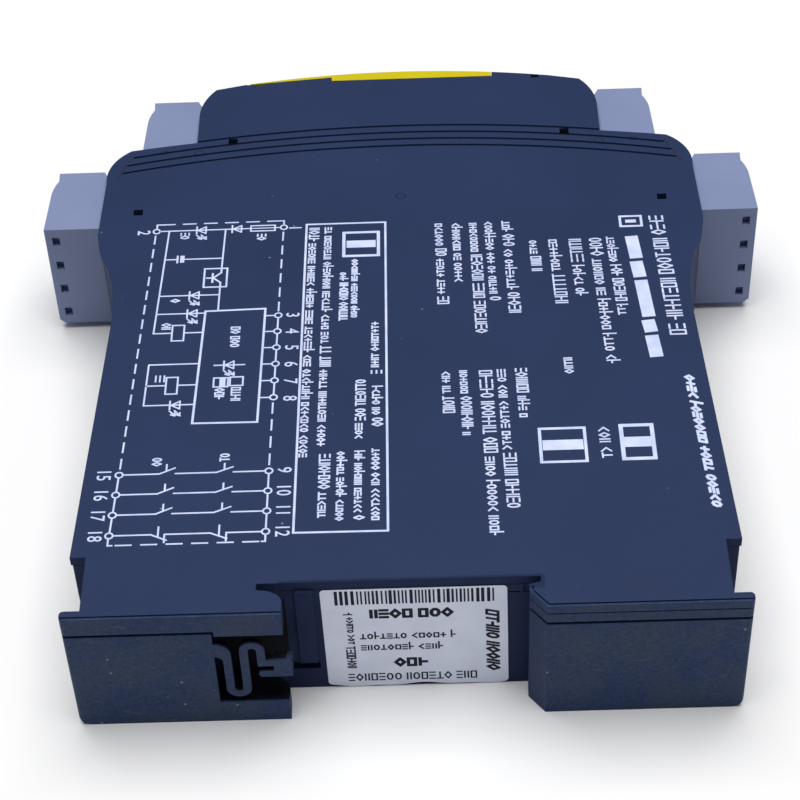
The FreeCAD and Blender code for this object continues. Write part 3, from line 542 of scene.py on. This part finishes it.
# ---------------------------------------------------------------------------
# Relays, capacitor, choke, fuse and chips on the main board.
# Sealed relays in glossy black cases, a sleeved can capacitor, and dull black
# moulded packages. All are soldered to the main board.


def moulded_package(name, colour, roughness, scale):
    """Smooth moulded resin with faint clouds of a lighter tone."""
    made, nodes, link, shader, coords = new_material(name, colour, roughness)
    light = tuple(c * 1.5 + 0.004 for c in colour)
    cloud = mottle(nodes, link, shader, coords, scale, colour, light, 3.0, 0.3, 0.75)
    fine = noise(nodes, link, coords, 4200.0)
    grain(nodes, link, shader, fine, 0.006 * MM, 0.20 * MM)
    link(span(nodes, link, cloud, 0.2, 0.8, roughness - 0.05, roughness + 0.08),
         shader.inputs["Roughness"])
    return made


relay_black = moulded_package("relay_case_plastic", (0.012, 0.012, 0.014), 0.22, 120.0)
give("relay_one", relay_black)
give("relay_two", relay_black)
dull_black = moulded_package("package_resin", (0.018, 0.018, 0.018), 0.55, 500.0)
give("logic_chips", dull_black)
give("power_parts", dull_black)
give("capacitor", moulded_package("capacitor_sleeve", (0.010, 0.016, 0.050), 0.28, 90.0))

# ---------------------------------------------------------------------------
# Lamps, light pipes, slide switch and bezel behind the front.
# Milky resin lamps and a black switch stand on the front board, clear acrylic pipes
# carry their light through the slate bezel, and a white slider sets the mode.

lens, nodes, link, shader, coords = new_material("lamp_resin", (0.32, 0.60, 0.30), 0.35)
mottle(nodes, link, shader, coords, 700.0, (0.26, 0.55, 0.25), (0.38, 0.66, 0.36))
give("indicator_leds", lens)

clear, nodes, link, shader, coords = new_material("clear_acrylic", (0.88, 0.92, 0.90), 0.12)
shader.inputs["Transmission Weight"].default_value = 0.85
shader.inputs["IOR"].default_value = 1.49
ripple = noise(nodes, link, coords, 1500.0)
link(span(nodes, link, ripple, 0.2, 0.8, 0.08, 0.22), shader.inputs["Roughness"])
grain(nodes, link, shader, ripple, 0.008 * MM)
give("light_pipes", clear)

give("switch_body", dull_black)
give("switch_slider", moulded_package("slider_plastic", (0.62, 0.62, 0.60), 0.40, 300.0))
give("front_bezel", slate)

# ---------------------------------------------------------------------------
# Front cover.
# Arched clip-on cover of bright yellow polycarbonate, held between the lid and
# the base, with openings for the light pipes and a notch to prise it off.

yellow, nodes, link, shader, coords = new_material("yellow_plastic", (0.60, 0.49, 0.004), 0.42)
shader.inputs["Specular IOR Level"].default_value = 0.22
cloud = noise(nodes, link, coords, 70.0, 3.0)
tone = ramp(nodes, link, cloud, (0.57, 0.465, 0.003), (0.63, 0.515, 0.005))
fine = noise(nodes, link, coords, 3500.0)
edge_wear_and_highlight = grain(nodes, link, shader, fine, 0.006 * MM, 0.20 * MM)
# Painted highlight: the eased edges of the cover are laid a paler yellow.
tone = lay(nodes, link, edge_wear_and_highlight, 0.4, tone, (0.78, 0.68, 0.03))
link(tone, shader.inputs["Base Color"])
link(span(nodes, link, cloud, 0.2, 0.8, 0.34, 0.46), shader.inputs["Roughness"])
give("front_cover", yellow)

# ---------------------------------------------------------------------------
# Rear label.
# A small sheet of pale coated paper stuck in the rail groove, its lower edge
# cockled, with a bar code and rows of dark shapes for its lines of print.

label_low, label_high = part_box("rear_label")
label_top = label_high.z + 0.25 * MM
label_wide = label_high.x - label_low.x
label_tall = label_top - label_low.z
label_corner = 0.6 * MM
paper_back = label_high.y - 0.15 * MM
paper_thick = 0.08 * MM
lean = 0.012    # how far it leans aside for each unit down, as it was stuck on


def cockle(x, z):
    """How far a point of the label has shrunk upwards, most at its lower edge."""
    down = (label_top - z) / label_tall
    return down ** 3 * (0.22 * math.sin(x * 420.0 + 0.8) + 0.12 * math.sin(x * 950.0)) * MM


def cut_strips(bm, axis, start, stop, count):
    """Cuts a sheet into strips along an axis, so that it can cockle."""
    for i in range(1, count):
        place = axis * (start + (stop - start) * i / count)
        bmesh.ops.bisect_plane(bm, geom=bm.verts[:] + bm.edges[:] + bm.faces[:],
                               plane_co=place, plane_no=axis)


bm = bmesh.new()
bmesh.ops.create_grid(bm, x_segments=1, y_segments=1, size=0.5)
bmesh.ops.scale(bm, vec=(label_wide, label_tall, 1.0), verts=bm.verts)
bmesh.ops.bevel(bm, geom=bm.verts[:], offset=label_corner, segments=5, profile=0.5,
                affect="VERTICES", material=-1)
upright = Matrix.Rotation(math.radians(90.0), 4, "X")
middle = Vector(((label_low.x + label_high.x) / 2, paper_back, (label_low.z + label_top) / 2))
bmesh.ops.transform(bm, matrix=Matrix.Translation(middle) @ upright, verts=bm.verts)
cut_strips(bm, Vector((1.0, 0.0, 0.0)), label_low.x, label_high.x, 40)
cut_strips(bm, Vector((0.0, 0.0, 1.0)), label_low.z, label_top, 16)
for vert in bm.verts:
    vert.co.z += cockle(vert.co.x, vert.co.z)
    vert.co.x += (label_top - vert.co.z) * lean
bmesh.ops.solidify(bm, geom=bm.faces[:], thickness=paper_thick)
bmesh.ops.recalc_face_normals(bm, faces=bm.faces)
face_y = min(vert.co.y for vert in bm.verts)
paper, nodes, link, shader, coords = new_material("label_paper", (0.74, 0.79, 0.92), 0.55)
fibre = mottle(nodes, link, shader, coords, 260.0, (0.70, 0.75, 0.89), (0.77, 0.82, 0.95), 5.0)
grain(nodes, link, shader, fibre, 0.02 * MM)
link(span(nodes, link, fibre, 0.2, 0.8, 0.48, 0.62), shader.inputs["Roughness"])
sheet = finish(bm, "label_sheet", paper, "case")
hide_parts("rear_label")

# A print lies in a plane: its own x, y in millimetres, and z out of the surface.
# Strokes that cross lie at twelve heights in turn, a hair apart.
INK_THICK = 0.02
INK_LAYER = 0.0008
INK_LAYERS = 12
STROKE_FACES = 6
slant = Matrix.Identity(4)
slant[0][1] = -lean
slant[0][3] = lean * label_tall / MM
plane = (Matrix.Translation((label_low.x, face_y, label_low.z)) @ upright
         @ Matrix.Scale(MM, 4) @ slant)
bm = bmesh.new()


def line(*shade_masks, wide=0.26):
    """A line through places in the print being made, a stroke to each run."""
    for (ax, ay), (bx, by) in zip(shade_masks, shade_masks[1:]):
        reach = math.hypot(bx - ax, by - ay) + wide * 0.8
        above = len(bm.faces) // STROKE_FACES % INK_LAYERS * INK_LAYER
        place = Matrix.Translation(((ax + bx) / 2, (ay + by) / 2, above))
        turn = Matrix.Rotation(math.atan2(by - ay, bx - ax), 4, "Z")
        size = Matrix.Diagonal((reach, wide, INK_THICK, 1.0))
        bmesh.ops.create_cube(bm, size=1.0, matrix=plane @ place @ turn @ size)


def oval(x, y, wide, tall, steps):
    """Places once round an ellipse, back to the first."""
    turns = [math.radians(360 * i / steps) for i in range(steps + 1)]
    return [(x + wide * math.cos(t), y + tall * math.sin(t)) for t in turns]


# Small simple shapes that stand for print: each has its width, and its strokes in a
# cell of width 1 and height 1.
low_shapes = (
    (0.56, (oval(0.5, 0.35, 0.36, 0.33, 8),)),
    (0.56, ([(0.5, 0.0), (0.9, 0.34), (0.5, 0.68), (0.1, 0.34), (0.5, 0.0)],)),
    (0.56, ([(0.85, 0.68), (0.2, 0.34), (0.85, 0.0)],)),
    (0.54, ([(0.14, 0.04), (0.86, 0.04), (0.86, 0.64), (0.14, 0.64), (0.14, 0.04)],)),
    (0.46, ([(0.2, 0.0), (0.2, 0.68)], [(0.8, 0.0), (0.8, 0.68)])),
    (0.50, ([(0.1, 0.02), (0.9, 0.02)], [(0.1, 0.34), (0.9, 0.34)], [(0.1, 0.66), (0.9, 0.66)])),
    (0.52, ([(0.5, 0.04), (0.5, 0.68)], [(0.05, 0.04), (0.95, 0.04)])),
    (0.50, ([(0.1, 0.34), (0.9, 0.34)], [(0.5, 0.04), (0.5, 0.64)])),
    (0.44, ([(0.2, 0.0), (0.2, 1.0)], [(0.2, 0.36), (0.9, 0.36)])),
)
tall_shapes = (
    (0.58, (oval(0.5, 0.5, 0.37, 0.48, 10),)),
    (0.56, ([(0.14, 0.0), (0.86, 0.0), (0.86, 1.0), (0.14, 1.0), (0.14, 0.0)],)),
    (0.60, ([(0.5, 0.0), (0.92, 0.5), (0.5, 1.0), (0.08, 0.5), (0.5, 0.0)],)),
    (0.46, ([(0.2, 0.0), (0.2, 1.0)], [(0.8, 0.0), (0.8, 1.0)])),
    (0.54, ([(0.5, 0.0), (0.5, 1.0)], [(0.05, 0.0), (0.95, 0.0)])),
    (0.52, ([(0.1, 0.0), (0.9, 0.0)], [(0.1, 0.5), (0.9, 0.5)], [(0.1, 1.0), (0.9, 1.0)])),
    (0.50, ([(0.2, 0.0), (0.2, 1.0)], [(0.2, 0.5), (0.95, 0.5)])),
)
WORD_GAP = 0.30      # share of a shape's height
SHAPE_FILL = 0.86    # share of its cell's width
chance = random.Random(5)


def words(start, along, reach, tall, wide, squeeze, italic=0.0, caps=0.35,
          tall_end=None, drift=0.0):
    """A row of shapes from a place: along is its direction, reach and tall its size.

    wide is the strokes' width, squeeze stretches each shape along the row, caps is the
    share of groups in tall shapes, tall_end the height at the far end, and drift how far
    the foot moves aside.
    """
    ax, ay = along
    spent, left, kind = 0.0, 0, low_shapes
    tall_end = tall if tall_end is None else tall_end
    while True:
        height = tall + (tall_end - tall) * spent / reach
        if left == 0:
            spent += height * WORD_GAP if spent else 0.0
            left = chance.randint(2, 8)
            kind = tall_shapes if chance.random() < caps else low_shapes
        share, strokes = chance.choice(kind)
        step = share * height * squeeze
        if spent + step > reach:
            return
        for stroke in strokes:
            ends = []
            for u, v in stroke:
                go = spent + (0.5 + (u - 0.5) * SHAPE_FILL) * step + italic * v * height
                up = v * (height - wide) + wide / 2 + drift * go / reach
                ends.append((start[0] + ax * go - ay * up, start[1] + ay * go + ax * up))
            line(*ends, wide=wide)
        left -= 1
        spent += step


bars_start, bars_stop, bars_foot, bars_top = 1.9, 23.5, 17.55, 20.05
at = bars_start
while at < bars_stop:
    thick = chance.choice((0.24, 0.32, 0.44))
    line((at + thick / 2, bars_foot), (at + thick / 2, bars_top), wide=thick)
    at += thick + chance.choice((0.22, 0.27, 0.36))
right, upward = (1.0, 0.0), (0.0, 1.0)
words((6.4, 14.4), right, 12.5, 1.95, 0.50, 1.45, caps=1.0)
words((4.9, 10.0), right, 13.9, 1.65, 0.24, 1.1, caps=0.0)
words((4.9, 7.6), right, 11.9, 1.65, 0.24, 1.1, caps=0.0)
words((9.4, 3.9), right, 6.3, 1.95, 0.50, 1.45, caps=1.0)
words((2.8, 0.95), right, 19.2, 1.6, 0.24, 1.25, caps=1.0)
words((4.2, 3.8), upward, 12.4, 1.35, 0.22, 0.95, caps=0.1)
words((24.2, 2.3), upward, 14.6, 1.95, 0.42, 1.2, italic=0.22, caps=1.0)
toner, nodes, link, shader, coords = new_material("label_toner", (0.010, 0.011, 0.028), 0.7)
shader.inputs["Specular IOR Level"].default_value = 0.15
mottle(nodes, link, shader, coords, 1400.0, (0.006, 0.007, 0.022), (0.020, 0.022, 0.050),
       2.0, 0.35, 0.75)
finish(bm, "label_marks", toner, "case")

# ---------------------------------------------------------------------------
# Print on the lid.
# Pale ink: a circuit in standard symbols, numbered terminals, a framed panel and rows
# of small shapes for words. Rows run to the rail, their tops to the fixed-hook end.

plane = Matrix.Translation((0.0, 0.0, lid_top + 0.006 * MM)) @ Matrix.Scale(MM, 4)
bm = bmesh.new()


def ring(x, y):
    """A terminal of the circuit."""
    line(*oval(x, y, 0.52, 0.52, 18), wide=0.24)


def rectangle(x0, y0, x1, y1, wide=0.26):
    """A box between two corners, drawn in outline."""
    line((x0, y0), (x1, y0), (x1, y1), (x0, y1), (x0, y0), wide=wide)


DASH = 2.0
DASH_GAP = 1.35


def dashes(ax, ay, bx, by):
    """A dashed line that starts and ends with a whole dash."""
    reach = math.hypot(bx - ax, by - ay)
    count = round((reach + DASH_GAP) / (DASH + DASH_GAP))
    step = (reach + DASH_GAP) / count
    for i in range(count):
        a, b = i * step / reach, (i * step + step - DASH_GAP) / reach
        line((ax + (bx - ax) * a, ay + (by - ay) * a), (ax + (bx - ax) * b, ay + (by - ay) * b))


def diode(x, y):
    """A diode symbol on a line along X."""
    line((x + 0.7, y + 0.8), (x + 0.7, y - 0.8), (x - 0.6, y), (x + 0.7, y + 0.8), wide=0.24)
    line((x - 0.75, y + 0.85), (x - 0.75, y - 0.85), wide=0.26)


def lamp_diode(x, y):
    """A diode symbol with the two arrows of a light that glows."""
    diode(x, y)
    for shift in (0.0, 0.75):
        line((x - shift, y - 1.15), (x + 0.75 - shift, y - 2.05), wide=0.24)
        line((x + 0.25 - shift, y - 1.95), (x + 0.85 - shift, y - 2.2), wide=0.26)
        line((x + 0.8 - shift, y - 2.15), (x + 0.8 - shift, y - 1.55), wide=0.22)


# Border of the circuit, with the supply terminals at its far corners.
dashes(-37.6, 21.1, -18.9, 21.2)
line((-38.4, 20.1), (-38.4, 21.1), (-37.8, 21.1))
line((-18.3, 20.2), (-18.3, 21.2), (-18.8, 21.2))
dashes(-38.5, 18.4, -40.1, -32.3)
dashes(-18.35, 18.4, -18.6, 0.0)
dashes(-18.85, -19.9, -19.0, -32.3)
dashes(-39.6, -46.8, -20.0, -46.8)
line((-40.7, -45.6), (-40.7, -46.8), (-40.1, -46.8))
line((-19.1, -45.6), (-19.1, -46.8), (-19.6, -46.8))
ring(-38.4, 19.5)
ring(-18.3, 19.6)

# Supply rail with its fuse, diode and lamp, and the branches below it.
line((-37.8, 19.5), (-23.6, 19.55))
rectangle(-23.5, 20.2, -19.7, 18.9)
line((-23.4, 19.55), (-18.9, 19.6), wide=0.2)
lamp_diode(-31.3, 19.5)
diode(-25.7, 19.55)
line((-36.4, 19.4), (-37.3, -4.3))
line((-27.5, 19.4), (-27.7, 10.2))
line((-36.7, 12.6), (-34.8, 12.6))
line((-34.7, 13.4), (-34.7, 11.85), wide=0.3)
line((-33.95, 13.2), (-33.95, 12.1), wide=0.66)
line((-33.7, 12.6), (-27.6, 12.6))
rectangle(-30.3, 10.2, -26.8, 5.9, wide=0.3)
line((-27.7, 10.1), (-27.7, 9.2), (-28.9, 8.0), (-27.75, 6.9), (-27.75, 5.9), wide=0.3)
line((-29.0, 9.0), (-29.0, 7.0), wide=0.32)
line((-29.9, 8.0), (-29.0, 8.0), wide=0.3)
line((-27.75, 5.9), (-27.8, 0.6))
line((-37.0, 4.1), (-27.8, 4.1))
lamp_diode(-31.6, 4.1)
line((-37.15, 0.0), (-29.8, 0.0))
lamp_diode(-31.7, 0.0)
line((-37.3, -4.3), (-34.5, -4.3))
rectangle(-34.5, -2.6, -32.7, -6.0)
line((-32.7, -4.3), (-29.9, -4.3))

# Control unit, its six terminals, and the second coil.
UNIT_PITCH = 3.54
line((-29.7, 0.4), (-20.6, 0.6), (-21.0, -23.7), (-30.4, -23.6), (-29.7, 0.4), wide=0.34)
for i in range(6):
    y = -1.0 - UNIT_PITCH * i
    x = -18.6 - 0.04 * i
    ring(x, y)
    line((-20.7 - 0.06 * i, y), (x - 0.52, y))
    if i < 5:
        line((x, y - 0.55), (x - 0.04, y - UNIT_PITCH + 0.55))
line((-27.8, -11.6), (-23.3, -11.6))
lamp_diode(-25.6, -11.6)
rectangle(-27.7, -14.3, -25.6, -16.2)
line((-26.4, -14.6), (-26.4, -15.9), wide=0.9)
rectangle(-25.3, -14.2, -23.4, -16.0)
line((-30.1, -11.1), (-37.5, -11.1), (-37.7, -19.7), (-30.3, -19.7))
lamp_diode(-33.1, -19.75)
line((-37.6, -15.6), (-34.7, -15.6))
rectangle(-34.7, -13.9, -33.0, -17.4)
line((-33.0, -15.6), (-30.2, -15.6))

# Three make contacts and one break contact, twice over.
CONTACT_PITCH = 3.83
for i in range(4):
    y = -33.5 - CONTACT_PITCH * i
    left_x, right_x = -40.15 - 0.16 * i, -19.0 - 0.03 * i
    ring(left_x, y)
    ring(right_x, y)
    if i < 3:
        line((left_x - 0.03, y - 0.6), (left_x - 0.13, y - CONTACT_PITCH + 0.58))
        line((right_x, y - 0.6), (right_x - 0.03, y - CONTACT_PITCH + 0.58))
        line((left_x + 0.55, y), (-34.5, y), (-32.3, y + 1.1))
        line((-33.5, y + 1.8), (-33.5, y + 0.55))
        line((-32.2, y), (-26.4, y), (-24.1, y + 1.0))
        line((-25.3, y + 1.7), (-25.3, y + 0.5))
        line((-24.0, y), (right_x - 0.55, y))
    else:
        line((left_x + 0.55, y), (-34.9, y), (-32.7, y - 1.1))
        line((-33.9, y + 1.4), (-33.9, y - 0.5))
        line((-33.0, y - 1.5), (-33.0, y), (-26.7, y), (-24.4, y - 1.1))
        line((-25.5, y + 1.4), (-25.5, y - 0.5))
        line((-24.5, y - 1.5), (-24.5, y), (right_x - 0.55, y))

# Framed panel beside the circuit.
line((-14.7, 20.1), (-2.3, 20.1), (-2.3, -45.5), (-15.3, -45.4), (-14.7, 20.1), wide=0.34)

# Rows in the panel, in the middle and beside the name: start, end, foot and top.
# Each widens and drifts outwards a little along its length.
rows = (
    (19.3, -31.5, -14.3, -12.6), (19.3, -29.1, -11.9, -10.2), (8.4, -2.9, -9.4, -8.0),
    (11.4, -2.5, -7.6, -6.2), (-3.1, -14.6, -4.6, -2.9), (-16.9, -26.0, -4.5, -2.8),
    (-29.7, -43.8, -4.6, -2.9), (-15.5, -28.0, -6.9, -5.3), (-30.0, -43.9, -7.0, -5.4),
    (-30.1, -43.8, -9.5, -7.9), (-30.5, -43.1, -12.0, -10.3),
    (19.4, -1.0, 5.4, 7.2), (19.4, 5.0, 8.1, 9.9), (19.3, -6.6, 10.8, 12.6),
    (19.5, -0.1, 13.2, 15.0), (19.5, -2.5, 15.9, 17.8), (-14.3, -23.2, 5.7, 7.5),
    (-14.2, -28.2, 8.3, 10.0), (-14.3, -47.8, 11.2, 13.2), (-14.2, -43.5, 13.8, 15.7),
    (-14.1, -25.1, 16.5, 18.3),
    (14.6, 6.4, 20.0, 21.7), (14.7, -0.4, 23.0, 25.0), (14.7, 0.4, 26.2, 28.2),
    (14.8, -14.7, 29.3, 31.4), (14.9, -3.5, 32.0, 33.8), (-12.1, -16.1, 23.7, 25.6),
    (-26.6, -33.4, 27.7, 30.0),
)
downward = (0.0, -1.0)
WIDEN = 0.0009
for start, stop, foot, top in rows:
    reach = start - stop
    words((foot, start), downward, reach, top - foot, 0.26, 0.92,
          drift=foot * WIDEN * reach, tall_end=(top - foot) * (1 + WIDEN * reach))
words((39.1, 19.7), downward, 28.7, 2.3, 0.30, 0.95, caps=1.0, tall_end=2.6, drift=0.8)
words((41.0, -16.4), downward, 27.5, 2.0, 0.42, 1.15, italic=0.25, caps=0.1, drift=1.3)

# Captions beside the symbols.
for x, y, reach in ((-34.6, 19.0, 2.0), (-22.5, 18.2, 1.9), (-35.2, 3.4, 1.5), (-36.2, -2.0, 1.9),
                    (-36.4, -13.4, 1.9), (-35.7, -30.3, 2.0), (-26.1, -29.8, 2.0),
                    (-25.7, -3.2, 5.2), (-25.1, -16.3, 3.6), (-27.5, -16.4, 2.6)):
    words((x, y), downward, reach, 1.5, 0.25, 0.95, caps=1.0)

# A heavy bar in parts where a name would stand, and plain frames where marks would.
for start, stop in ((14.9, 9.6), (8.9, 5.2), (4.5, -3.8), (-4.5, -7.2), (-7.9, -12.6)):
    foot = 34.9 + (14.9 - (start + stop) / 2) * 0.050
    line((foot + 1.05, start - 0.8), (foot + 1.05 + (start - stop) * 0.05, stop + 0.8), wide=2.0)
for x0, y0, x1, y1, wide in ((-8.8, 17.8, -3.4, 12.2, 0.5), (34.6, 19.7, 37.9, 17.3, 0.4),
                             (19.4, -26.8, 25.8, -33.4, 0.45), (31.0, -26.6, 35.4, -33.2, 0.6)):
    rectangle(x0, y0, x1, y1, wide=wide)
    middle = (y0 + y1) / 2
    line((x0 + 1.1, middle), (x1 - 1.1, middle), wide=(y0 - y1) * 0.3)

ink, nodes, link, shader, coords = new_material("pale_ink", (0.62, 0.69, 0.94), 0.50)
shader.inputs["Specular IOR Level"].default_value = 0.25
blot = mottle(nodes, link, shader, coords, 420.0, (0.52, 0.59, 0.86), (0.68, 0.75, 0.99), 4.0)
link(span(nodes, link, blot, 0.2, 0.8, 0.45, 0.60), shader.inputs["Roughness"])
finish(bm, "lid_print", ink, "case")

# Terminal numbers, in plain figures.
FIGURE_TALL = 2.0
FIGURE_NARROW = 0.80
FIGURE_SHARE = 0.70    # a figure's height as a share of the font's size
bm = bmesh.new()


def number(text, x, y):
    """A plain number centred at a place on the lid, turned as the rows are."""
    figures = bpy.data.curves.new("number", "FONT")
    figures.body = text
    figures.size = FIGURE_TALL / FIGURE_SHARE
    figures.align_x = "CENTER"
    figures.align_y = "CENTER"
    figures.extrude = INK_THICK / 2
    figures.offset = 0.02
    figures.resolution_u = 3
    holder = bpy.data.objects.new("number", figures)
    made = bpy.data.meshes.new_from_object(holder)
    turn = Matrix.Rotation(math.radians(-90.0), 4, "Z")
    size = Matrix.Diagonal((FIGURE_NARROW, 1.0, 1.0, 1.0))
    made.transform(plane @ Matrix.Translation((x, y, 0.0)) @ turn @ size)
    bm.from_mesh(made)
    bpy.data.objects.remove(holder)
    bpy.data.meshes.remove(made)


for i in range(4):
    y = -33.4 - CONTACT_PITCH * i
    number(str(9 + i), -16.9, y)
    number(str(15 + i), -42.4 - 0.1 * i, y)
for i in range(6):
    number(str(3 + i), -16.5, -1.0 - 3.6 * i)
number("1", -16.6, 19.4)
number("2", -40.5, 19.3)
finish(bm, "terminal_numbers", ink, "case")
